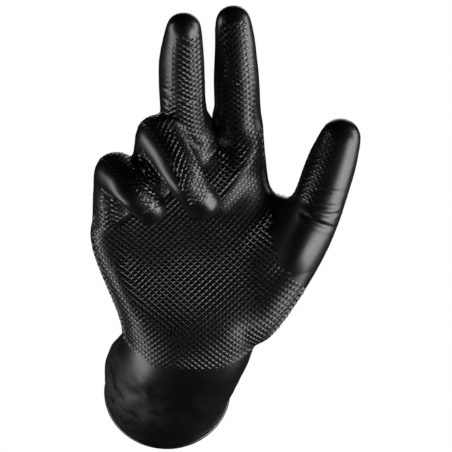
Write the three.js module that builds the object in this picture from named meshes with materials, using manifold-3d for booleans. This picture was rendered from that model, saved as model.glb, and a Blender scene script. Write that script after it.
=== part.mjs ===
// A black nitrile grip glove for the right side, in the form that it has when it is filled and held up.
// The palm faces -Y, the fingers point up (+Z) and the thumb points to +X. Millimetres throughout.
// The origin is the centre of the wrist, in the middle of the glove's hollow.
// The real glove is one dipped film, so it is one solid: palm, back, five stalls, cuff and bead.
import * as THREE from "three";
import { mergeVertices } from "three/addons/utils/BufferGeometryUtils.js";
import Module from "manifold-3d";

const wasm = await Module();
wasm.setup();

// The real film is 0.15 to 0.25 mm thick, too thin to be a sound solid, so the wall is thicker here.
const WALL = 1.2;
const BEAD_RADIUS = 1.6;
// How far the cutting form runs out of the cuff's mouth.
const MOUTH_OVERRUN = 12;
// How far the palm's closed end stands past its last section.
const PALM_END_RISE = 3.5;
// The palm's hollow reaches this share of the half width on each side of the middle.
const HOLLOW_SPREAD = 0.62;

const BODY_SIDES = 28;
const BODY_STEPS = 2;
const TUBE_SIDES = 12;
const TUBE_STEPS = 2;
const DOME_RINGS = 3;
const BEAD_RINGS = 4;

// Sections of the one tube that runs from the cuff's mouth over the wrist to the finger roots.
// x, y, z is the centre. lean tips the section forward and roll drops its little finger side.
// littleward, thumbward, front and back are half sizes, square is the superellipse power (2 is an
// ellipse), and hollow is the depth of the dent in the middle of the palm.
const BODY = [
  { name: "cuff_mouth", x: -9.5, y: 55, z: -28.5, lean: 64, roll: 0,
    littleward: 30, thumbward: 29.5, front: 29, back: 28, square: 2, hollow: 0 },
  { name: "cuff_middle", x: -7.5, y: 40, z: -21, lean: 63, roll: 0,
    littleward: 31.8, thumbward: 30, front: 28.5, back: 26.5, square: 2, hollow: 0 },
  { name: "cuff_neck", x: -5, y: 27, z: -14, lean: 61, roll: 0,
    littleward: 33, thumbward: 31.5, front: 26, back: 23, square: 2.1, hollow: 0 },
  { name: "wrist_fold_low", x: -2, y: 17.5, z: -8, lean: 55, roll: 0,
    littleward: 33, thumbward: 31.5, front: 24, back: 21.5, square: 2.1, hollow: 0 },
  { name: "wrist_fold_dip", x: 0, y: 11, z: -4, lean: 47, roll: 0,
    littleward: 31.5, thumbward: 31.5, front: 22, back: 18, square: 2.2, hollow: 0 },
  { name: "wrist_fold_high", x: 1, y: 6, z: 1, lean: 38, roll: 0,
    littleward: 30, thumbward: 32, front: 21, back: 19.5, square: 2.2, hollow: 0 },
  { name: "heel_low", x: 2, y: 1.5, z: 9, lean: 26, roll: 0,
    littleward: 31, thumbward: 35, front: 19.5, back: 16, square: 2.3, hollow: 0.5 },
  { name: "heel", x: 2, y: -2, z: 21, lean: 15, roll: 0,
    littleward: 35.5, thumbward: 39, front: 18, back: 15, square: 2.4, hollow: 2 },
  { name: "palm", x: 0, y: -5, z: 37, lean: 12, roll: 3,
    littleward: 39.5, thumbward: 42, front: 15.5, back: 14, square: 2.5, hollow: 3 },
  { name: "palm_high", x: -1, y: -8, z: 52, lean: 12, roll: 8,
    littleward: 42, thumbward: 42.5, front: 14.5, back: 13, square: 2.5, hollow: 2.5 },
  { name: "knuckles", x: -1, y: -10, z: 64, lean: 14, roll: 13,
    littleward: 41.5, thumbward: 41, front: 14, back: 13.5, square: 2.4, hollow: 1 },
  { name: "finger_roots", x: 2, y: -13, z: 75, lean: 19, roll: 16,
    littleward: 37, thumbward: 36, front: 12, back: 12, square: 2.2, hollow: 0 },
  { name: "webs", x: 5, y: -18, z: 84, lean: 27, roll: 18,
    littleward: 29, thumbward: 28, front: 8.5, back: 8.5, square: 2, hollow: 0 },
];

// Each stall is one or two domed tubes through joint centres, root first. width is the full size
// along hinge, the direction of the finger joints' axes, and depth is the full size across it.
const STALLS = [
  { name: "thumb", hinge: [0.92, 0, -0.39], tubes: [[
    { x: 29.5, y: -2, z: 13, width: 32, depth: 27 },
    { x: 42, y: -7, z: 29, width: 31, depth: 26.5 },
    { x: 53.5, y: -13, z: 45, width: 25, depth: 24 },
    { x: 59, y: -19, z: 58.5, width: 24.5, depth: 23 },
    { x: 63.2, y: -24, z: 71, width: 23.4, depth: 21.5 },
    { x: 66.6, y: -29, z: 81.7, width: 22.4, depth: 20 },
    { x: 69.8, y: -34, z: 91.4, width: 18.6, depth: 16.5 },
  ]] },
  { name: "index", hinge: [1, 0, 0], tubes: [[
    { x: 26, y: -12, z: 72, width: 25, depth: 20.5 },
    { x: 25.2, y: -19, z: 91, width: 22.8, depth: 20.5 },
    { x: 24.3, y: -28, z: 106.7, width: 21, depth: 19.5 },
    { x: 23.9, y: -36, z: 116.5, width: 20.8, depth: 18.5 },
    { x: 23.5, y: -43.5, z: 126, width: 19, depth: 17 },
    { x: 23, y: -53, z: 138.8, width: 16.8, depth: 13.5 },
  ]] },
  { name: "middle", hinge: [1, 0, 0], tubes: [[
    { x: 6, y: -13.5, z: 75, width: 24, depth: 20.5 },
    { x: 2.6, y: -23.5, z: 92, width: 22, depth: 20 },
    { x: 0.4, y: -38, z: 106, width: 20.6, depth: 20 },
    { x: 0.2, y: -49, z: 115.6, width: 20.6, depth: 18.8 },
    { x: 0.4, y: -59, z: 124.4, width: 19.8, depth: 17.2 },
    { x: 1.6, y: -71.5, z: 135.2, width: 15.4, depth: 13.5 },
  ]] },
  { name: "ring", hinge: [0.87, 0.4, 0.28], tubes: [
    [
      { x: -14.5, y: -11, z: 65, width: 23, depth: 20 },
      { x: -12.3, y: -25, z: 79, width: 21.5, depth: 19.5 },
      { x: -10, y: -39, z: 91.2, width: 21.2, depth: 19.5 },
    ],
    [
      { x: -10, y: -39, z: 91.2, width: 21.2, depth: 19.5 },
      { x: -4.6, y: -46.5, z: 82.8, width: 18.6, depth: 17.5 },
      { x: 1.7, y: -49.5, z: 72.6, width: 16.8, depth: 16 },
      { x: 8.8, y: -35, z: 61.6, width: 15.6, depth: 13.5 },
    ],
  ] },
  { name: "little", hinge: [0.81, 0.41, 0.42], tubes: [
    [
      { x: -31.5, y: -9, z: 55, width: 21, depth: 18.5 },
      { x: -31, y: -20, z: 66.5, width: 20, depth: 18 },
      { x: -29.6, y: -31, z: 76, width: 19.5, depth: 17.5 },
    ],
    [
      { x: -29.6, y: -31, z: 76, width: 19.5, depth: 17.5 },
      { x: -25.2, y: -38.5, z: 71.6, width: 18, depth: 16 },
      { x: -19.7, y: -42, z: 66.4, width: 16.4, depth: 14.5 },
      { x: -13.6, y: -31, z: 59.4, width: 14.8, depth: 12.5 },
    ],
  ] },
];

// The film's fullness at the foot of the thumb: the pad below it and the web beside the forefinger.
const THUMB_FOOT = [
  { name: "thenar", hinge: [0.72, 0, -0.69], tubes: [[
    { x: 16, y: -4, z: 27, width: 44, depth: 26 },
    { x: 32, y: -7, z: 37, width: 38, depth: 25 },
    { x: 47, y: -12, z: 48, width: 26, depth: 21 },
  ]] },
  { name: "thumb_web", hinge: [0.2, 0, 0.98], tubes: [[
    { x: 20, y: -8, z: 51, width: 38, depth: 21 },
    { x: 34, y: -10, z: 55, width: 29, depth: 17 },
    { x: 46, y: -13, z: 56.5, width: 20.5, depth: 13 },
  ]] },
];

// The row at a fractional place in a table, each column on a Catmull-Rom curve through the rows.
function rowAt(rows, place) {
  const last = rows.length - 1;
  const below = Math.min(Math.floor(place), last - 1);
  const t = place - below;
  const near = [Math.max(below - 1, 0), below, below + 1, Math.min(below + 2, last)];
  const row = {};
  for (const column of Object.keys(rows[below])) {
    if (column === "name") continue;
    const [a, b, c, d] = near.map((k) => rows[k][column]);
    const curve = 2 * a - 5 * b + 4 * c - d + t * (3 * (b - c) + d - a);
    row[column] = b + 0.5 * t * (c - a + t * curve);
  }
  return row;
}

function smoothRows(rows, steps) {
  const count = (rows.length - 1) * steps;
  return Array.from({ length: count + 1 }, (_, k) => rowAt(rows, k / steps));
}

const centreOf = (row) => new THREE.Vector3(row.x, row.y, row.z);

// A point of a superellipse, from -1 to 1 on each axis.
function superellipse(turn, power) {
  const c = Math.cos(turn);
  const s = Math.sin(turn);
  return [Math.sign(c) * Math.abs(c) ** (2 / power), Math.sign(s) * Math.abs(s) ** (2 / power)];
}

// A closed surface through rings of equal point counts, fanned to a pole at each end.
function closedSkin(startPole, rings, endPole) {
  const sides = rings[0].length;
  const points = [startPole, ...rings.flat(), endPole];
  const endIndex = points.length - 1;
  const index = [];
  for (let k = 0; k < sides; k++) {
    const next = (k + 1) % sides;
    index.push(0, 1 + next, 1 + k);
    for (let r = 0; r + 1 < rings.length; r++) {
      const a = 1 + r * sides + k;
      const b = 1 + r * sides + next;
      index.push(a, b, b + sides, a, b + sides, a + sides);
    }
    const top = 1 + (rings.length - 1) * sides;
    index.push(top + k, top + next, endIndex);
  }
  const geometry = new THREE.BufferGeometry().setFromPoints(points);
  geometry.setIndex(index);
  return geometry;
}

function solidOf(geometry) {
  const merged = mergeVertices(geometry, 1e-4);
  const solid = new wasm.Manifold(
    new wasm.Mesh({
      numProp: 3,
      vertProperties: merged.attributes.position.array,
      triVerts: new Uint32Array(merged.index.array),
    }),
  );
  if (solid.volume() <= 0) throw new Error("a form is inside out");
  return solid;
}

// The three directions of a body section: towards the thumb, towards the back, and to the fingers.
function bodyFrame(row) {
  const turn = new THREE.Euler(
    THREE.MathUtils.degToRad(row.lean),
    THREE.MathUtils.degToRad(-row.roll),
    0,
  );
  const [thumbward, backward, upward] = [[1, 0, 0], [0, 1, 0], [0, 0, 1]].map((axis) =>
    new THREE.Vector3(...axis).applyEuler(turn),
  );
  return { thumbward, backward, upward };
}

function bodyRing(row, inset) {
  const { thumbward, backward } = bodyFrame(row);
  return Array.from({ length: BODY_SIDES }, (_, k) => {
    const [c, s] = superellipse((2 * Math.PI * k) / BODY_SIDES, row.square);
    const across = c * ((c > 0 ? row.thumbward : row.littleward) - inset);
    const dent = s < 0 ? row.hollow * Math.max(0, 1 - (c / HOLLOW_SPREAD) ** 2) : 0;
    const deep = s * ((s > 0 ? row.back : row.front) - inset) + dent;
    return centreOf(row).addScaledVector(thumbward, across).addScaledVector(backward, deep);
  });
}

// The bead is a half round standing out of the film all round the mouth.
function beadRings(mouth, outward) {
  return Array.from({ length: BEAD_RINGS + 1 }, (_, k) => {
    const turn = Math.PI * (0.5 - k / BEAD_RINGS);
    const ring = bodyRing(mouth, -BEAD_RADIUS * Math.cos(turn));
    return ring.map((p) => p.addScaledVector(outward, BEAD_RADIUS * Math.sin(turn)));
  });
}

function bodyForm(inset) {
  const rows = smoothRows(BODY, BODY_STEPS);
  const mouth = rows[0];
  const end = rows[rows.length - 1];
  const outward = bodyFrame(mouth).upward.negate();
  const isCavity = inset > 0;
  const overrun = isCavity ? MOUTH_OVERRUN : BEAD_RADIUS;
  const firstRings = isCavity
    ? [bodyRing(mouth, inset).map((p) => p.addScaledVector(outward, overrun))]
    : beadRings(mouth, outward);
  const rings = [...firstRings, ...rows.slice(1).map((row) => bodyRing(row, inset))];
  const startPole = centreOf(mouth).addScaledVector(outward, overrun);
  const endPole = centreOf(end).addScaledVector(bodyFrame(end).upward, PALM_END_RISE - inset);
  return solidOf(closedSkin(startPole, rings, endPole));
}

// One domed tube, drawn in by inset all over.
function tubeForm(joints, hinge, inset) {
  const rows = smoothRows(joints, TUBE_STEPS);
  const last = rows.length - 1;
  const alongAt = (k) =>
    centreOf(rows[Math.min(k + 1, last)]).sub(centreOf(rows[Math.max(k - 1, 0)])).normalize();
  const ringAt = (k, lift, share) => {
    const along = alongAt(k);
    const across = hinge.clone().addScaledVector(along, -hinge.dot(along)).normalize();
    const deep = new THREE.Vector3().crossVectors(along, across);
    const centre = centreOf(rows[k]).addScaledVector(along, lift);
    return Array.from({ length: TUBE_SIDES }, (_, j) => {
      const turn = (2 * Math.PI * j) / TUBE_SIDES;
      return centre
        .clone()
        .addScaledVector(across, Math.cos(turn) * share * (rows[k].width / 2 - inset))
        .addScaledVector(deep, Math.sin(turn) * share * (rows[k].depth / 2 - inset));
    });
  };
  const domeHeight = (k) => (rows[k].width + rows[k].depth) / 4 - inset;
  const dome = (k, way) =>
    Array.from({ length: DOME_RINGS }, (_, j) => {
      const turn = (Math.PI / 2) * ((j + 1) / (DOME_RINGS + 1));
      return ringAt(k, way * Math.sin(turn) * domeHeight(k), Math.cos(turn));
    });
  const rings = [
    ...dome(0, -1).reverse(),
    ...rows.map((_, k) => ringAt(k, 0, 1)),
    ...dome(last, 1),
  ];
  const pole = (k, way) => centreOf(rows[k]).addScaledVector(alongAt(k), way * domeHeight(k));
  return solidOf(closedSkin(pole(0, -1), rings, pole(last, 1)));
}

// The whole glove's form: its outside at inset 0, its hollow at inset WALL.
function gloveForm(inset) {
  let form = bodyForm(inset);
  for (const { hinge, tubes } of [...STALLS, ...THUMB_FOOT]) {
    const across = new THREE.Vector3(...hinge).normalize();
    for (const joints of tubes) form = form.add(tubeForm(joints, across, inset));
  }
  return form;
}

function meshOf(name, solid, material) {
  const data = solid.getMesh();
  const geometry = new THREE.BufferGeometry();
  geometry.setAttribute("position", new THREE.BufferAttribute(data.vertProperties, 3));
  geometry.setIndex(new THREE.BufferAttribute(data.triVerts, 1));
  const mesh = new THREE.Mesh(geometry, material);
  mesh.name = name;
  return mesh;
}

const nitrile = new THREE.MeshStandardMaterial({ color: 0x0b0b0c, roughness: 0.42, metalness: 0 });
const glove = new THREE.Group();
glove.add(meshOf("glove_film", gloveForm(0).subtract(gloveForm(WALL)), nitrile));

export default glove;
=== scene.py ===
import math
from collections import deque

import bmesh
import bpy
import numpy as np
from mathutils import Matrix, Vector, noise
from mathutils.bvhtree import BVHTree


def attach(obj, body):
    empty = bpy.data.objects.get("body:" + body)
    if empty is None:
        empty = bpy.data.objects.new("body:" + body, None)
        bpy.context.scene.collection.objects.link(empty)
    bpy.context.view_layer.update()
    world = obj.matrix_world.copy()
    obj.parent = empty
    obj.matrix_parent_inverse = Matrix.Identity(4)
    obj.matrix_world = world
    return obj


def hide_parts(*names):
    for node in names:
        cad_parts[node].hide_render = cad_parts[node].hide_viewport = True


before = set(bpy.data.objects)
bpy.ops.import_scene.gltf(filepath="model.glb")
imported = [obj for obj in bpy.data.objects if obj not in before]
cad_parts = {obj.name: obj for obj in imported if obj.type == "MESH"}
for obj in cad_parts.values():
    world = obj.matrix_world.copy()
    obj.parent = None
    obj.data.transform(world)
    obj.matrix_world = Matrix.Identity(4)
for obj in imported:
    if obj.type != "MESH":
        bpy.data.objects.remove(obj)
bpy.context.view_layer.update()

MM = 0.001

# The camera stands level, straight in front of the palm. PHOTO_FOCAL is in pixels of a 452 frame.
CAMERA_AT = Vector((19.3, -800, 52.4)) * MM
PHOTO_SIDE = 452
PHOTO_FOCAL = 1739
SENSOR = 36

# The glove's own mouth: its middle and the way out of it.
MOUTH_AT = Vector((-9.5, 55, -28.5)) * MM
MOUTH_OUT = Vector((0, 0.899, -0.438))

# Where the film is drawn across between the thumb and the palm and between two stalls: x, y, z and
# radius of a ball, in mm.
WEBS = [
    (46, -12, 60, 24), (30, -12, 68, 18), (44, -4, 30, 24), (27, -18, 46, 18), (28, -20, 33, 20),
    (27, -16, 20, 18)]

# Where the film is fuller than its solid: the middle and radius of a ball, and how far its middle
# moves, in mm.
SWELLS = {
    "index_tip": ((23, -55, 141), 17, (-0.6, 0, 1.6)),
    "index_tip_side": ((32, -54, 141), 11, (-0.5, 0, 0)),
    "ring_tip": ((9, -44, 63), 11, (1.6, 0, 0)),
    "little_tip": ((-14, -38, 60), 11, (2.6, 0, -0.6)),
    "heel": ((4, -22, 12), 32, (0, -2.2, 0)),
    "heel_side": ((24, -15, 5), 14, (-0.4, -1.2, 0)),
    "thenar": ((45, -24, 42), 20, (0, -2.5, 0)),
}

# Balls in mm where neighbouring stalls press against each other, and how far each side swells there.
PUFFS = [(13, -27, 92, 9), (13, -27, 99.5, 7.5)]
PUFF_RISE = 1.6 * MM

# How far the grip runs over each domed tip, as a share of the way to its top. Below zero it stops
# short of the last joint.
TIP_GRIP = {"thumb": 0.4, "index": 0.45, "middle": 0.1, "ring": -0.45, "little": -0.45}

# How far round its stall each grip band is turned towards the thumb and its half angle, in degrees,
# and how high it stands against the palm's.
BANDS = {
    "thumb": (0, 48, 0.25), "index": (0, 48, 1), "middle": (0, 48, 1), "ring": (16, 60, 1),
    "little": (20, 46, 1)}

# Where along each stall its own grip takes over, first from the palm's and then from the back's.
GRIP_FROM = {
    "thumb": (2.4, 1.2), "index": (1.35, 0.8), "middle": (1.25, 0.8), "ring": (0.9, 0.6),
    "little": (0.9, 0.6)}

# How softly the ways out at a facet's corners blend, in square metres.
CORNER_BLEND = 1e-8
# A point further out than this many times a stall's own size belongs to the palm.
STALL_REACH = 1.3

# Outline of the plain film over the thumb's pad and web, and the grip's lower edge on the palm,
# as they show in the 452 frame.
SMOOTH_THENAR = [
    (258, 180), (264, 200), (270, 214), (271, 235), (276, 252), (281, 268), (292, 277), (303, 288),
    (335, 290), (375, 200), (375, 110), (290, 110), (270, 150)]
GRIP_FOOT = [
    (90, 318), (118, 337), (135, 352), (150, 365), (175, 371), (200, 372), (225, 367), (240, 360),
    (250, 353), (275, 345)]
# The grip fades out from so many pixels above its foot to so many below it.
FOOT_FADE = (6, 2)

# How squarely the film faces front or back where the grip fades out along the sides of the palm.
EDGE_PLAIN = 0.24
EDGE_FULL = 0.34
# Where along BODY_LINE the grip on the back begins and where it is full.
BACK_PLAIN = 1.2
BACK_FULL = 1.6

# Lines in the film as they show in the 452 frame, with their depth and half width in mm. A line of
# depth below zero stands up.
LINES = {
    "thumb_crease_high": ([(309, 191), (328, 191), (346, 193)], 0.3, 0.9),
    "thumb_crease_mid": ([(316, 206), (339, 207)], 0.45, 0.9),
    "thumb_crease_next": ([(314, 213), (330, 215.5), (340, 213)], 0.55, 0.9),
    "thumb_crease_deep": ([(303, 214), (312, 220), (322, 225), (335, 229)], 0.9, 1.1),
    "middle_wrinkle_high": ([(158, 85), (171, 92)], 0.45, 0.8),
    "middle_wrinkle_mid": ([(158, 94), (173, 105)], 0.5, 0.8),
    "middle_wrinkle_low": ([(162, 103), (173, 112)], 0.45, 0.8),
    "middle_joint_crease": ([(180, 102), (192, 100), (203, 99)], 0.45, 0.9),
    "middle_root_crease": ([(190, 137), (194, 142), (200, 147)], 0.4, 1.0),
    "index_joint_crease": ([(220, 84), (236, 86), (252, 83)], 0.25, 1.0),
    "palm_ridge": ([(266, 118), (256, 145), (242, 168), (228, 188), (214, 206), (196, 222)], -2.2, 4.8),
    "little_side_swell": ([(118, 262), (126, 285), (134, 306), (142, 326)], -1.5, 7),
    "thenar_ridge": ([(306, 205), (300, 230), (297, 252), (296, 276)], -1.2, 8),
    "finger_side_groove": ([(228, 140), (216, 176)], 0.9, 3.5),
    "little_side_groove": ([(104, 238), (130, 254), (150, 275), (165, 302), (176, 338)], 0.4, 7),
}

# How high the film swells along a crease, as a share of its depth, and how many half widths from it.
# Ridges, and grooves of DEEP_GROOVE mm or more, have no swell.
CREASE_SWELL = 0.25
CREASE_SWELL_AT = 2
DEEP_GROOVE = 1
# A line is pressed in within this many half widths, and only where the film faces as it does there.
LINE_REACH = 5
LINE_FACING = 0.2

# The solid is cut this far short of its mouth and drawn out again to past it, in mm.
CUT_BACK = 3
DRAWN_OUT = 11
# Corners this close are one, and triangles at flatter angles than this are joined, in radians.
WELD = 1e-6
FLAT_ANGLE = 0.7

ROUNDING_LEVELS = 2
FILM_VOXEL = 1.0 * MM
# How strongly a web pulls inside its ball, then for how many rounds it is drawn tight, with a new
# look at the way out every few rounds, and evened.
WEB_PULL = 3
WEB_TIGHT_ROUNDS = 90
WEB_ROUNDS_A_LOOK = 10
WEB_EVEN_ROUNDS = 40
FILM_EVEN_ROUNDS = 8
# Evening shrinks the film, and this many mm are given back.
FILM_FULLER = 0.3
# What share of the film's facets its inner face keeps.
INSIDE_SHARE = 0.18
INSIDE_DEPTH = 0.8 * MM
INSIDE_EVEN_ROUNDS = 2
BEAD_RADIUS = 1.35 * MM
BEAD_EVEN_ROUNDS = 4
BEAD_ROUNDNESS = 3

# The grip's raised diamonds, corner to corner, and how far they stand out of the film.
DIAMOND_LONG = 2.8 * MM
DIAMOND_WIDE = 3.2 * MM
DIAMOND_RISE = 0.32 * MM
DIAMOND_ROOT = 0.1 * MM
# Half sizes of a diamond's foot and of its flat top, as shares of its length and width.
DIAMOND_FOOT = 0.48
DIAMOND_TOP = 0.22
# A fading diamond keeps at least this share of its root, and the faintest are left out.
ROOT_SHARE = 0.4
FAINTEST = 0.05
# Two diamonds closer than this would overlap.
DIAMOND_CLEAR = 1.62 * MM
# How strongly each diamond turns to the way along its stall or palm, against its neighbour's way.
GRIP_STEER = 0.15
# The lattice stops where the film turns away more sharply than this, as a cosine.
GRIP_TURN = 0.5
# Where the lattices begin: a pixel of the palm, a place on the back and two places on each stall.
PALM_START = (180, 275)
BACK_START = 8
STALL_STARTS = (0.35, 0.8)
# A band fades out over this many degrees, and towards its tip over this share of a joint.
BAND_FADE = 6
TIP_FADE = 0.25

# How deep the cuff's uneven folds go.
CUFF_FOLD = 0.7 * MM
# The folds begin this far in from the mouth, grow over a stretch and calm down near the mouth to a
# share, all in mm.
FOLDS_FROM = 58
FOLDS_GROW = 14
FOLDS_CALM = 8
CALM_SHARE = 0.15
# How large the folds are across, along and down, and the lumps between them, in mm.
FOLD_SIZES = (9, 26, 13)
LUMP_SIZE = 6
LUMP_SHIFT = 40
LUMP_SHARE = 0.45

# Middle line of the glove from the wrist to the finger roots: x, y, z, lean, roll, wide, deep, in mm
# and degrees. lean tips the section forward and roll drops its little finger side, as on the solid;
# wide and deep are half sizes.
BODY_LINE = [
    (-2, 17.5, -8, 55, 0, 32, 23),
    (0, 11, -4, 47, 0, 31.5, 20),
    (1, 6, 1, 38, 0, 31, 20),
    (2, 1.5, 9, 26, 0, 33, 18),
    (2, -2, 21, 15, 0, 37, 16.5),
    (0, -5, 37, 12, 3, 41, 15),
    (-1, -8, 52, 12, 8, 42, 14),
    (-1, -10, 64, 14, 13, 41, 14),
    (2, -13, 75, 19, 16, 36.5, 12),
    (5, -18, 84, 27, 18, 28.5, 9.5),
    (7, -24, 94, 33, 18, 27, 10),
    (8, -31, 104, 36, 18, 26, 10),
]

# Stalls: the way of the joints' axes, then the joint centres in mm from root to tip as x, y, z, with
# the whole width along the joints' axes and the whole depth.
STALLS = {
    "thumb": ((0.6, -0.8, 0), [
        (42, -7, 29, 31, 26.5), (53.5, -13, 45, 25, 24), (59, -19, 58.5, 24.5, 23),
        (63.2, -24, 71, 23.4, 21.5), (66.6, -29, 81.7, 22.4, 20), (69.8, -34, 91.4, 18.6, 16.5)]),
    "index": ((1, 0, 0), [
        (26, -12, 72, 25, 20.5), (25.2, -19, 91, 22.8, 20.5), (24.3, -28, 106.7, 21, 19.5),
        (23.9, -36, 116.5, 20.8, 18.5), (23.5, -43.5, 126, 19, 17), (23, -53, 138.8, 16.8, 13.5)]),
    "middle": ((0.95, 0.33, 0), [
        (6, -13.5, 75, 24, 20.5), (2.6, -23.5, 92, 22, 20), (0.4, -38, 106, 20.6, 20),
        (0.2, -49, 115.6, 20.6, 18.8), (0.4, -59, 124.4, 19.8, 17.2), (1.6, -71.5, 135.2, 15.4, 13.5)]),
    "ring": ((0.87, 0.4, 0.28), [
        (-14.5, -11, 65, 23, 20), (-12.3, -25, 79, 21.5, 19.5), (-10, -39, 91.2, 21.2, 19.5),
        (-4.6, -46.5, 82.8, 18.6, 17.5), (1.7, -49.5, 72.6, 16.8, 16), (8.8, -35, 61.6, 15.6, 13.5)]),
    "little": ((0.81, 0.41, 0.42), [
        (-31.5, -9, 55, 21, 18.5), (-31, -20, 66.5, 20, 18), (-29.6, -31, 76, 19.5, 17.5),
        (-25.2, -38.5, 71.6, 18, 16), (-19.7, -42, 66.4, 16.4, 14.5), (-13.6, -31, 59.4, 14.8, 12.5)]),
}
# How many sections a form is cut into, and how far along the way at each is looked up.
STATION_COUNT = 50
LOOK_ALONG = 0.05

# Gloss of the plain film and of the grip: how strongly it shines, its least and most roughness, and
# how uneven it is.
FILM_GLOSS = (0.5, (0.29, 0.37), 0.2)
GRIP_GLOSS = (0.6, (0.28, 0.35), 0.1)
FILM_BLACK = (0.0008, 0.0008, 0.0009, 1)
FILM_GREY = (0.0022, 0.0022, 0.0025, 1)
# Scale and detail of each noise in the film, coarse to fine.
CLOUDS = (90, 4)
BLOTCHES = (150, 4)
WAVES = (260, 3)
PEBBLES = (2600, 2)
WAVE_HEIGHT = 0.3 * MM
PEBBLE_HEIGHT = 0.06 * MM
PEBBLE_STRENGTH = 0.35
# Where the cuff's dull clouds fade in, from none to full along each axis in metres, and what part of
# the blotches they take in and how much roughness they add.
DULL_PATCH = {"Z": (-0.047, -0.034), "X": (0.004, -0.018), "Y": (0.004, 0.022)}
DULL_BLOTCHES = (0.38, 0.62)
DULLING = (0.04, 0.4)

# Soft boxes round the glove: azimuth and elevation in degrees, distance and size in metres, watts.
# Azimuth 0 is the camera's side and 90 the thumb's.
LIGHTS = {
    "key_light": (57, -28, 0.75, (0.32, 0.55), 3.8),
    "right_light": (85, -12, 0.75, (0.5, 1.2), 11),
    "left_light": (-84, -20, 0.75, (0.3, 1.1), 6),
    "back_light": (172, 35, 0.9, (0.6, 0.5), 2.6),
}
LIT_POINT = Vector((0.015, -0.02, 0.05))
WHITE = (1, 1, 1, 1)
ROOM_GLOW = 0.01

FLOOR_RADIUS = 1.6
FLOOR_CORNERS = 64
FLOOR_HEIGHT = -0.8
FLOOR_GREY = (0.85, 0.85, 0.85, 1)
FLOOR_ROUGHNESS = 0.8
FLOOR_GLOW = 0.85


def evaluated_copy(obj, name):
    """A plain mesh object of what obj looks like with its modifiers."""
    graph = bpy.context.evaluated_depsgraph_get()
    mesh = bpy.data.meshes.new_from_object(obj.evaluated_get(graph))
    made = bpy.data.objects.new(name, mesh)
    bpy.context.scene.collection.objects.link(made)
    return made


def object_of(bm, name):
    """The mesh that bm holds as an object of the scene, its faces in an order that never varies."""
    bm.verts.index_update()
    points = [tuple(v.co) for v in bm.verts]
    faces = []
    for face in bm.faces:
        corners = [v.index for v in face.verts]
        first = corners.index(min(corners))
        faces.append(corners[first:] + corners[:first])
    bm.free()
    mesh = bpy.data.meshes.new(name)
    mesh.from_pydata(points, [], sorted(faces))
    made = bpy.data.objects.new(name, mesh)
    bpy.context.scene.collection.objects.link(made)
    return made


def island_of(start):
    """All the vertices that are joined to start by edges."""
    found = {start}
    queue = [start]
    while queue:
        for edge in queue.pop().link_edges:
            for vert in edge.verts:
                if vert not in found:
                    found.add(vert)
                    queue.append(vert)
    return found


def film_form(node):
    """The outside of the solid, drawn out past its mouth and closed there."""
    bm = bmesh.new()
    bm.from_mesh(node.data)
    bmesh.ops.remove_doubles(bm, verts=bm.verts, dist=WELD)
    everything = bm.verts[:] + bm.edges[:] + bm.faces[:]
    cut_at = MOUTH_AT - MOUTH_OUT * CUT_BACK * MM
    bmesh.ops.bisect_plane(bm, geom=everything, plane_co=cut_at, plane_no=MOUTH_OUT, clear_outer=True)
    outermost = min(bm.verts, key=lambda v: v.co.x)
    outside = island_of(outermost)
    bmesh.ops.delete(bm, geom=[v for v in bm.verts if v not in outside], context="VERTS")
    bmesh.ops.join_triangles(
        bm, faces=bm.faces, angle_face_threshold=FLAT_ANGLE, angle_shape_threshold=FLAT_ANGLE)
    rim = [e for e in bm.edges if e.is_boundary]
    drawn = bmesh.ops.extrude_edge_only(bm, edges=rim)["geom"]
    drawn_verts = [g for g in drawn if isinstance(g, bmesh.types.BMVert)]
    bmesh.ops.translate(bm, verts=drawn_verts, vec=MOUTH_OUT * DRAWN_OUT * MM)
    bmesh.ops.holes_fill(bm, edges=[e for e in bm.edges if e.is_boundary])
    bmesh.ops.recalc_face_normals(bm, faces=bm.faces)
    return object_of(bm, "film_form")


def smooth_film(form):
    """The form as one even skin of quads."""
    rounding = form.modifiers.new("rounding", "SUBSURF")
    rounding.levels = rounding.render_levels = ROUNDING_LEVELS
    skin = form.modifiers.new("skin", "REMESH")
    skin.mode = "VOXEL"
    skin.voxel_size = FILM_VOXEL
    made = evaluated_copy(form, "film_skin")
    bpy.data.objects.remove(form)
    return made


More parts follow.
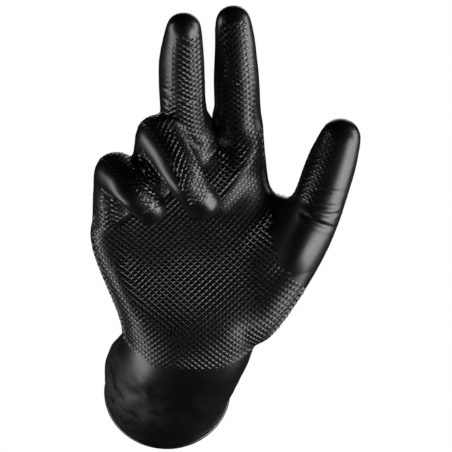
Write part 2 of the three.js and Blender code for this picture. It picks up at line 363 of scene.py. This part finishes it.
class Skin:
    """The film's points as one array, with what is needed to move them."""

    def __init__(self, mesh):
        self.mesh = mesh
        self.at = np.empty(len(mesh.vertices) * 3)
        mesh.vertices.foreach_get("co", self.at)
        self.at = self.at.reshape(-1, 3)
        ends = np.empty(len(mesh.edges) * 2, dtype=np.int32)
        mesh.edges.foreach_get("vertices", ends)
        self.ends = ends.reshape(-1, 2)
        self.links = np.bincount(self.ends.ravel(), minlength=len(self.at))

    def half_way(self):
        """The step from each point half the way to the middle of its neighbours."""
        a, b = self.ends[:, 0], self.ends[:, 1]
        total = np.empty_like(self.at)
        for axis in range(3):
            total[:, axis] = np.bincount(a, self.at[b, axis], len(self.at))
            total[:, axis] += np.bincount(b, self.at[a, axis], len(self.at))
        return (total / self.links[:, None] - self.at) * 0.5

    def relax(self, rounds, weight=None):
        """Evens the film, everywhere or by a weight for each point."""
        for _ in range(rounds):
            step = self.half_way()
            if weight is not None:
                step *= weight[:, None]
            self.at += step

    def near(self, spots):
        """How far each point is within a list of balls: 1 at a middle, 0 outside."""
        found = np.zeros(len(self.at))
        for x, y, z, radius in spots:
            gone = np.linalg.norm(self.at - np.array((x, y, z)) * MM, axis=1) / (radius * MM)
            inside = np.clip(1 - gone, 0, 1)
            found = np.maximum(found, inside * inside * (3 - 2 * inside))
        return found

    def draw_tight(self, rounds, weight):
        """Fills hollows only, as a stretched film bridges them."""
        for number in range(rounds):
            if number % WEB_ROUNDS_A_LOOK == 0:
                out = self.normals()
            rise = np.einsum("ij,ij->i", self.half_way(), out)
            self.at += out * (np.maximum(rise, 0) * weight)[:, None]

    def push(self, middle, radius, by):
        """Moves the film near a point, most at the point itself and not at all past the radius."""
        share = self.near([(*middle, radius)])
        self.at += share[:, None] * np.array(by) * MM

    def press_line(self, spots, facing, depth, width, swell):
        """Presses a line into the film, with a low swell along each side of it."""
        out = self.normals()
        reach = width * LINE_REACH
        lowest, highest = spots.min(axis=0) - reach, spots.max(axis=0) + reach
        chosen = np.nonzero(((self.at > lowest) & (self.at < highest)).all(axis=1))[0]
        apart = np.linalg.norm(self.at[chosen, None, :] - spots[None, :, :], axis=2)
        nearest = apart.argmin(axis=1)
        gone = apart[np.arange(len(chosen)), nearest] / width
        taper = np.sin(np.pi * (nearest + 1) / (len(spots) + 1)) ** 0.5
        is_facing = np.einsum("ij,ij->i", out[chosen], facing[nearest]) > LINE_FACING
        press = np.exp(-gone ** 2) - swell * np.exp(-((gone - CREASE_SWELL_AT) ** 2))
        self.at[chosen] -= out[chosen] * (press * taper * is_facing * depth)[:, None]

    def ruffle(self, depth):
        """Uneven folds over the cuff that run out of its mouth and fade towards the palm."""
        out = self.normals()
        along = (self.at - np.array(MOUTH_AT)) @ np.array(MOUTH_OUT)
        growing = np.clip((along / MM + FOLDS_FROM) / FOLDS_GROW, 0, 1)
        share = growing * np.clip(-along / MM / FOLDS_CALM, CALM_SHARE, 1)
        across_size, along_size, down_size = FOLD_SIZES
        for k in np.nonzero(share > 0)[0]:
            x, y, z = self.at[k] / MM
            drape = noise.noise(Vector((x / across_size, along[k] / MM / along_size, z / down_size)))
            lump = noise.noise(Vector((x / LUMP_SIZE + LUMP_SHIFT, y / LUMP_SIZE, z / LUMP_SIZE)))
            self.at[k] += out[k] * (depth * share[k] * (drape + LUMP_SHARE * lump))

    def store(self):
        self.mesh.vertices.foreach_set("co", self.at.ravel())
        self.mesh.update()

    def normals(self):
        self.store()
        out = np.empty(len(self.at) * 3)
        self.mesh.vertices.foreach_get("normal", out)
        return out.reshape(-1, 3)


def tree_of(obj):
    bm = bmesh.new()
    bm.from_mesh(obj.data)
    tree = BVHTree.FromBMesh(bm)
    bm.free()
    return tree


def catmull(rows, place):
    """A row at a fractional place in a table, each column on a smooth curve through the rows."""
    last = len(rows) - 1
    below = min(int(place), last - 1)
    t = place - below
    a, b, c, d = (np.array(rows[k], float) for k in
                  (max(below - 1, 0), below, below + 1, min(below + 2, last)))
    return b + 0.5 * t * (c - a + t * (2 * a - 5 * b + 4 * c - d + t * (3 * (b - c) + d - a)))


class Station:
    """A section across the palm or a stall: its middle, its own three ways and its half sizes."""

    def __init__(self, middle, across, back, along, wide, deep):
        self.middle = middle
        self.across = across
        self.back = back
        self.along = along
        self.wide = wide
        self.deep = deep


def body_station(place):
    """The section of the glove's body at a place along BODY_LINE."""
    x, y, z, lean, roll, wide, deep = catmull(BODY_LINE, place)
    turn = Matrix.Rotation(math.radians(lean), 3, "X") @ Matrix.Rotation(math.radians(-roll), 3, "Y")
    across, back, along = (turn @ Vector(axis) for axis in ((1, 0, 0), (0, 1, 0), (0, 0, 1)))
    return Station(Vector((x, y, z)) * MM, across, back, along, wide * MM, deep * MM)


def stall_station(name, place):
    """The section of a stall at a place along its joints."""
    hinge, rows = STALLS[name]
    x, y, z, wide, deep = catmull(rows, place)
    ahead = catmull(rows, min(place + LOOK_ALONG, len(rows) - 1))
    behind = catmull(rows, max(place - LOOK_ALONG, 0))
    along = (Vector(ahead[:3]) - Vector(behind[:3])).normalized()
    hinge = Vector(hinge)
    across = (hinge - along * hinge.dot(along)).normalized()
    back = along.cross(across)
    return Station(Vector((x, y, z)) * MM, across, back, along, wide / 2 * MM, deep / 2 * MM)


class Chart:
    """The stations of one form in arrays, to find where a point lies along and round it."""

    def __init__(self, station_at, last):
        self.last = last
        self.places = np.linspace(0, last, STATION_COUNT)
        stations = [station_at(place) for place in self.places]
        self.middle = np.array([s.middle for s in stations])
        self.across = np.array([s.across for s in stations])
        self.back = np.array([s.back for s in stations])
        self.along = np.array([s.along for s in stations])
        self.size = np.array([(s.wide + s.deep) / 2 for s in stations])

    def find(self, point):
        """How far out the point lies, its nearest station, its place and its turn from the back."""
        gone = point - self.middle
        far = np.linalg.norm(gone, axis=1) / self.size
        k = int(far.argmin())
        place = self.places[k]
        if k == len(self.places) - 1:
            rise = np.clip(gone[k] @ self.along[k] / self.size[k], 0, 1)
            place += math.asin(rise) / (math.pi / 2)
        return far[k], k, place, math.atan2(gone[k] @ self.across[k], gone[k] @ self.back[k])


def photo_pixel(point):
    """Where a point shows in the 452 frame."""
    ahead = point.y - CAMERA_AT.y
    x = PHOTO_SIDE / 2 + PHOTO_FOCAL * (point.x - CAMERA_AT.x) / ahead
    return x, PHOTO_SIDE / 2 - PHOTO_FOCAL * (point.z - CAMERA_AT.z) / ahead


def camera_hit(tree, x, y):
    """The point of the film that shows at a pixel, and the way it faces."""
    way = Vector((x - PHOTO_SIDE / 2, PHOTO_FOCAL, PHOTO_SIDE / 2 - y)).normalized()
    return tree.ray_cast(CAMERA_AT, way)[:2]


def line_on_film(tree, pixels):
    """Points along a line of pixels, a pixel apart, with the ways that the film faces there."""
    spots = []
    facing = []
    for (ax, ay), (bx, by) in zip(pixels, pixels[1:]):
        count = max(int(math.hypot(bx - ax, by - ay)), 2)
        for k in range(count):
            spot, normal = camera_hit(tree, ax + (bx - ax) * k / count, ay + (by - ay) * k / count)
            if spot is not None:
                spots.append(spot)
                facing.append(normal)
    return np.array(spots), np.array(facing)


def fade(value, full, none):
    """1 up to full, 0 past none and a smooth fall between."""
    t = min(max((value - full) / (none - full), 0), 1)
    return 1 - t * t * (3 - 2 * t)


def is_within(x, y, outline):
    """Whether a pixel lies inside a closed outline."""
    inside = False
    for (ax, ay), (bx, by) in zip(outline, outline[1:] + outline[:1]):
        if (ay > y) != (by > y) and x < ax + (y - ay) / (by - ay) * (bx - ax):
            inside = not inside
    return inside


class Surface:
    """The finished film, as something to stand the grip on."""

    def __init__(self, obj, charts):
        self.tree = tree_of(obj)
        self.charts = charts
        self.corners = [tuple(p.vertices) for p in obj.data.polygons]
        self.at = [v.co.copy() for v in obj.data.vertices]
        self.out = [v.normal.copy() for v in obj.data.vertices]

    def nearest(self, aim):
        """The film's nearest point, with its way out blended between the corners there."""
        spot, _, index, _ = self.tree.find_nearest(aim)
        out = Vector()
        for corner in self.corners[index]:
            out += self.out[corner] / ((self.at[corner] - spot).length_squared + CORNER_BLEND)
        return spot, out.normalized()

    def part_of(self, spot, out):
        """The form that a point belongs to, its side, its place and turn there, and the way along."""
        point = np.array(spot)
        way_out = np.array(out)
        best = STALL_REACH
        found = None
        for name in STALLS:
            chart = self.charts[name]
            far, k, place, turn = chart.find(point)
            side = 1 if way_out @ chart.back[k] > 0 else -1
            if far < best and place >= GRIP_FROM[name][(side + 1) // 2]:
                best = far
                found = name, side, place, turn, chart.along[k]
        if found:
            return found
        chart = self.charts["palm"]
        _, k, place, turn = chart.find(point)
        facing = way_out @ chart.back[k]
        return "palm", 1 if facing > 0 else -1, place, facing, chart.along[k]

    def grip_share(self, spot, part):
        """How fully the grip stands at a point: 1 on the grip and 0 on plain film."""
        name, side, place, turn, _ = part
        if name != "palm":
            last = self.charts[name].last + TIP_GRIP[name]
            band_turn, half_angle, rise = BANDS[name]
            off_middle = abs(math.degrees(turn) - band_turn) % 180
            off_middle = min(off_middle, 180 - off_middle)
            share = fade(off_middle, half_angle - BAND_FADE / 2, half_angle + BAND_FADE / 2)
            return share * fade(place, last - TIP_FADE, last) * rise
        edge_share = fade(-abs(turn), -EDGE_FULL, -EDGE_PLAIN)
        if side > 0:
            return edge_share * fade(-place, -BACK_FULL, -BACK_PLAIN)
        x, y = photo_pixel(spot)
        if is_within(x, y, SMOOTH_THENAR):
            return 0
        foot = np.interp(x, [p[0] for p in GRIP_FOOT], [p[1] for p in GRIP_FOOT])
        return edge_share * fade(y, foot - FOOT_FADE[0], foot + FOOT_FADE[1])


class Grip:
    """The raised diamonds: where each one sits, the way it faces and how it is turned."""

    def __init__(self, surface):
        self.surface = surface
        self.diamonds = []
        self.cells = {}

    def cell_of(self, spot):
        return tuple(int(math.floor(c / DIAMOND_CLEAR)) for c in spot)

    def is_free(self, spot):
        x, y, z = self.cell_of(spot)
        for dx in (-1, 0, 1):
            for dy in (-1, 0, 1):
                for dz in (-1, 0, 1):
                    for other in self.cells.get((x + dx, y + dy, z + dz), ()):
                        if (other - spot).length < DIAMOND_CLEAR:
                            return False
        return True

    def add(self, spot, out, up, only):
        """Stands a diamond at a free spot of the grip, or of one form's grip only, and returns it."""
        if not self.is_free(spot):
            return None
        part = self.surface.part_of(spot, out)
        if only and part[:2] != only:
            return None
        share = self.surface.grip_share(spot, part)
        if share < FAINTEST:
            return None
        guide = Vector(part[4])
        guide = (guide - out * guide.dot(out)).normalized()
        up = up or guide
        up = (up - out * up.dot(out)).normalized()
        if guide.dot(up) > 0:
            up = (up.lerp(guide, GRIP_STEER)).normalized()
        self.cells.setdefault(self.cell_of(spot), []).append(spot)
        diamond = spot, out, up, share
        self.diamonds.append(diamond)
        return diamond

    def grow(self, first, only=None):
        """Spreads the lattice from its first diamonds, each a half diamond up and across."""
        waiting = deque(first)
        while waiting:
            spot, out, up, _ = waiting.popleft()
            across = up.cross(out)
            for sideways, upward in ((1, 1), (-1, 1), (1, -1), (-1, -1)):
                step = across * (sideways * DIAMOND_WIDE / 2) + up * (upward * DIAMOND_LONG / 2)
                next_spot, next_out = self.surface.nearest(spot + step)
                if next_out.dot(out) < GRIP_TURN or (next_spot - spot).length < DIAMOND_CLEAR:
                    continue
                diamond = self.add(next_spot, next_out, up, only)
                if diamond:
                    waiting.append(diamond)

    def start(self, spot, only):
        """Grows one form's grip from a spot on it."""
        spot, out = self.surface.nearest(spot)
        diamond = self.add(spot, out, None, only)
        if diamond:
            self.grow([diamond], only)


def diamond_block():
    """One raised diamond: a low four-sided block with a flat top."""
    bm = bmesh.new()
    bmesh.ops.create_cone(
        bm, cap_ends=True, segments=4, radius1=DIAMOND_FOOT, radius2=DIAMOND_TOP, depth=1)
    bmesh.ops.translate(bm, verts=bm.verts, vec=(0, 0, 0.5))
    bottom = [f for f in bm.faces if f.normal.z < -0.9]
    bmesh.ops.delete(bm, geom=bottom, context="FACES_ONLY")
    bm.verts.index_update()
    return bm


def grip_object(name, diamonds):
    """All the diamonds of the grip as one mesh."""
    block = diamond_block()
    corner = np.array([v.co for v in block.verts])
    sides = [[v.index for v in f.verts] for f in block.faces]
    block.free()
    points = []
    faces = []
    for spot, out, up, share in diamonds:
        across = up.cross(out)
        root = DIAMOND_ROOT * max(share, ROOT_SHARE)
        rise = DIAMOND_RISE * share + root
        shape = np.array([across * DIAMOND_WIDE, up * DIAMOND_LONG, out * rise])
        start = len(points)
        points.extend(corner @ shape + np.array(spot - out * root))
        faces.extend([start + k for k in side] for side in sides)
    mesh = bpy.data.meshes.new(name)
    mesh.from_pydata([tuple(p) for p in points], [], faces)
    made = bpy.data.objects.new(name, mesh)
    bpy.context.scene.collection.objects.link(made)
    return made


def inner_face(film):
    """The film's inner face: a plainer skin of the same form, further in."""
    made = evaluated_copy(film, "inner_face")
    fewer = made.modifiers.new("fewer", "DECIMATE")
    fewer.ratio = INSIDE_SHARE
    inside = evaluated_copy(made, "inside")
    bpy.data.objects.remove(made)
    points = Skin(inside.data)
    points.relax(INSIDE_EVEN_ROUNDS)
    points.at -= points.normals() * INSIDE_DEPTH
    points.store()
    return inside


def cut_at_mouth(mesh, is_turned):
    """A mesh cut off clean at the mouth, and turned inside out for an inner face."""
    bm = bmesh.new()
    bm.from_mesh(mesh)
    everything = bm.verts[:] + bm.edges[:] + bm.faces[:]
    bmesh.ops.bisect_plane(bm, geom=everything, plane_co=MOUTH_AT, plane_no=MOUTH_OUT, clear_outer=True)
    if is_turned:
        bmesh.ops.reverse_faces(bm, faces=bm.faces)
    bm.to_mesh(mesh)
    bm.free()


def rolled_bead(rim):
    """The roll round the mouth: a round cord along the film's cut edge."""
    sideways = Vector((1, 0, 0))
    upward = MOUTH_OUT.cross(sideways).normalized()

    def turn_of(point):
        return math.atan2((point - MOUTH_AT).dot(upward), (point - MOUTH_AT).dot(sideways))

    rim = sorted(rim, key=turn_of)
    for _ in range(BEAD_EVEN_ROUNDS):
        rim = [(a + b * 2 + c) / 4 for a, b, c in zip(rim[-1:] + rim[:-1], rim, rim[1:] + rim[:1])]
    path = bpy.data.curves.new("bead_path", "CURVE")
    path.dimensions = "3D"
    path.bevel_depth = BEAD_RADIUS
    path.bevel_resolution = BEAD_ROUNDNESS
    line = path.splines.new("POLY")
    line.points.add(len(rim) - 1)
    for point, place in zip(line.points, rim):
        point.co = (*place, 1)
    line.use_cyclic_u = True
    cord = bpy.data.objects.new("bead_path", path)
    bpy.context.scene.collection.objects.link(cord)
    made = evaluated_copy(cord, "cuff_bead")
    bpy.data.objects.remove(cord)
    return made


def speckle(tree, place, noise_size):
    """Noise over the object, at so many features a metre."""
    made = tree.nodes.new("ShaderNodeTexNoise")
    made.inputs["Scale"].default_value, made.inputs["Detail"].default_value = noise_size
    tree.links.new(place, made.inputs["Vector"])
    return made.outputs["Fac"]


def map_range(tree, value, starts, ends):
    """One range of a value turned into another, held at its ends."""
    made = tree.nodes.new("ShaderNodeMapRange")
    for socket, limit in zip(("From Min", "From Max", "To Min", "To Max"), (*starts, *ends)):
        made.inputs[socket].default_value = limit
    tree.links.new(value, made.inputs["Value"])
    return made.outputs["Result"]


def worked_out(tree, operation, *values):
    """The result of a sum on values."""
    made = tree.nodes.new("ShaderNodeMath")
    made.operation = operation
    for value, socket in zip(values, made.inputs):
        tree.links.new(value, socket)
    return made.outputs["Value"]


def bumps(tree, height, strength, distance):
    """A node that tilts the surface as a height says."""
    made = tree.nodes.new("ShaderNodeBump")
    made.inputs["Strength"].default_value = strength
    made.inputs["Distance"].default_value = distance
    tree.links.new(height, made.inputs["Height"])
    return made


def nitrile(name, shine, roughness, unevenness):
    """Black dipped nitrile: a satin film, finely pebbled, with slightly uneven gloss."""
    material = bpy.data.materials.new(name)
    material.use_nodes = True
    tree = material.node_tree
    shader = tree.nodes["Principled BSDF"]
    place = tree.nodes.new("ShaderNodeTexCoord").outputs["Object"]

    cloud = speckle(tree, place, CLOUDS)
    tint = tree.nodes.new("ShaderNodeValToRGB")
    tint.color_ramp.elements[0].color = FILM_BLACK
    tint.color_ramp.elements[1].color = FILM_GREY
    tree.links.new(cloud, tint.inputs["Fac"])
    tree.links.new(tint.outputs["Color"], shader.inputs["Base Color"])

    # The thumbless side of the cuff is duller than the palm, in soft clouds that end before the mouth.
    apart = tree.nodes.new("ShaderNodeSeparateXYZ")
    tree.links.new(place, apart.inputs["Vector"])
    by_height, by_side, by_depth = (
        map_range(tree, apart.outputs[axis], fades, (0, 1)) for axis, fades in DULL_PATCH.items())
    patch = worked_out(tree, "MULTIPLY", worked_out(tree, "MULTIPLY", by_height, by_side), by_depth)
    dulling = map_range(tree, speckle(tree, place, BLOTCHES), DULL_BLOTCHES, DULLING)
    gloss = map_range(tree, cloud, (0, 1), roughness)
    rough = worked_out(tree, "MULTIPLY_ADD", patch, dulling, gloss)
    tree.links.new(rough, shader.inputs["Roughness"])
    shader.inputs["Specular IOR Level"].default_value = shine

    fine = bumps(tree, speckle(tree, place, PEBBLES), PEBBLE_STRENGTH, PEBBLE_HEIGHT)
    broad = bumps(tree, speckle(tree, place, WAVES), unevenness, WAVE_HEIGHT)
    tree.links.new(fine.outputs["Normal"], broad.inputs["Normal"])
    tree.links.new(broad.outputs["Normal"], shader.inputs["Normal"])
    return material


def soft_light(name, azimuth, elevation, distance, size, power):
    """A soft box that faces the glove and doesn't show itself."""
    a, e = math.radians(azimuth), math.radians(elevation)
    way = Vector((math.sin(a) * math.cos(e), -math.cos(a) * math.cos(e), math.sin(e)))
    data = bpy.data.lights.new(name, "AREA")
    data.shape = "RECTANGLE"
    data.size, data.size_y = size
    data.energy = power
    made = bpy.data.objects.new(name, data)
    made.location = LIT_POINT + way * distance
    made.rotation_euler = (-way).to_track_quat("-Z", "Y").to_euler()
    made.visible_camera = False
    bpy.context.scene.collection.objects.link(made)


def white_room():
    """A world that shows white behind the glove but hardly lights it."""
    world = bpy.data.worlds.new("studio")
    bpy.context.scene.world = world
    world.use_nodes = True
    nodes = world.node_tree.nodes
    seen = nodes["Background"]
    dim = nodes.new("ShaderNodeBackground")
    for background, strength in ((seen, 1), (dim, ROOM_GLOW)):
        background.inputs["Color"].default_value = WHITE
        background.inputs["Strength"].default_value = strength
    path = nodes.new("ShaderNodeLightPath")
    choice = nodes.new("ShaderNodeMixShader")
    world.node_tree.links.new(path.outputs["Is Camera Ray"], choice.inputs[0])
    world.node_tree.links.new(dim.outputs[0], choice.inputs[1])
    world.node_tree.links.new(seen.outputs[0], choice.inputs[2])
    world.node_tree.links.new(choice.outputs[0], nodes["World Output"].inputs["Surface"])


def pale_floor():
    """A wide pale disc under the glove that melts into the white behind it."""
    bm = bmesh.new()
    bmesh.ops.create_circle(bm, cap_ends=True, segments=FLOOR_CORNERS, radius=FLOOR_RADIUS)
    bmesh.ops.translate(bm, verts=bm.verts, vec=(0, 0, FLOOR_HEIGHT))
    made = object_of(bm, "floor")
    pale = bpy.data.materials.new("pale_floor")
    pale.use_nodes = True
    sockets = pale.node_tree.nodes["Principled BSDF"].inputs
    sockets["Base Color"].default_value = FLOOR_GREY
    sockets["Roughness"].default_value = FLOOR_ROUGHNESS
    sockets["Emission Color"].default_value = WHITE
    sockets["Emission Strength"].default_value = FLOOR_GLOW
    made.data.materials.append(pale)
    made.visible_glossy = False
    made.visible_diffuse = False
    return made


# The film.
cad_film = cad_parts["glove_film"]
film = smooth_film(film_form(cad_film))
film.name = "film"
skin = Skin(film.data)
webs = np.clip(skin.near(WEBS) * WEB_PULL, 0, 1)
skin.draw_tight(WEB_TIGHT_ROUNDS, webs)
skin.relax(WEB_EVEN_ROUNDS, webs)
skin.relax(FILM_EVEN_ROUNDS)
skin.at += skin.normals() * FILM_FULLER * MM
for middle, radius, by in SWELLS.values():
    skin.push(middle, radius, by)
skin.at += skin.normals() * (skin.near(PUFFS) * PUFF_RISE)[:, None]
skin.store()
plain_tree = tree_of(film)
for pixels, depth, width in LINES.values():
    spots, facing = line_on_film(plain_tree, pixels)
    swell = CREASE_SWELL if 0 < depth < DEEP_GROOVE else 0
    skin.press_line(spots, facing, depth * MM, width * MM, swell)
skin.ruffle(CUFF_FOLD)
skin.store()

# The grip.
charts = {
    name: Chart(lambda place, name=name: stall_station(name, place), len(rows) - 1)
    for name, (_, rows) in STALLS.items()}
charts["palm"] = Chart(body_station, len(BODY_LINE) - 1)
surface = Surface(film, charts)
grip = Grip(surface)
palm_middle = camera_hit(surface.tree, *PALM_START)[0]
back_middle = body_station(BACK_START)
grip.start(palm_middle, ("palm", -1))
grip.start(back_middle.middle + back_middle.back * back_middle.deep, ("palm", 1))
for name in STALLS:
    for side, start in zip((-1, 1), GRIP_FROM[name]):
        for share in STALL_STARTS:
            middle = stall_station(name, start + (charts[name].last - start) * share)
            grip.start(middle.middle + middle.back * (side * middle.deep), (name, side))
grip.grow(grip.diamonds)
grip_piece = grip_object("grip_diamonds", grip.diamonds)

# The clean mouth, the inner face and the rolled bead.
inside = inner_face(film)
cut_at_mouth(film.data, False)
cut_at_mouth(inside.data, True)
bm = bmesh.new()
bm.from_mesh(film.data)
rim = [v.co.copy() for v in bm.verts if v.is_boundary]
bm.from_mesh(inside.data)
bmesh.ops.bridge_loops(bm, edges=[e for e in bm.edges if e.is_boundary])
bm.to_mesh(film.data)
bm.free()
bpy.data.objects.remove(inside)
bead = rolled_bead(rim)
for piece in (film, bead):
    for polygon in piece.data.polygons:
        polygon.use_smooth = True

film_nitrile = nitrile("smooth_nitrile", *FILM_GLOSS)
film.data.materials.append(film_nitrile)
bead.data.materials.append(film_nitrile)
grip_piece.data.materials.append(nitrile("grip_nitrile", *GRIP_GLOSS))

for piece in (film, grip_piece, bead):
    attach(piece, "root")
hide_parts("glove_film")

# Camera, lights and floor.
camera_data = bpy.data.cameras.new("camera")
camera_data.sensor_width = SENSOR
camera_data.lens = PHOTO_FOCAL / PHOTO_SIDE * SENSOR
camera = bpy.data.objects.new("camera", camera_data)
camera.location = CAMERA_AT
camera.rotation_euler = (math.radians(90), 0, 0)
bpy.context.scene.collection.objects.link(camera)
bpy.context.scene.camera = camera

bpy.context.scene.view_settings.view_transform = "Standard"
for name, setting in LIGHTS.items():
    soft_light(name, *setting)
white_room()
floor = pale_floor()
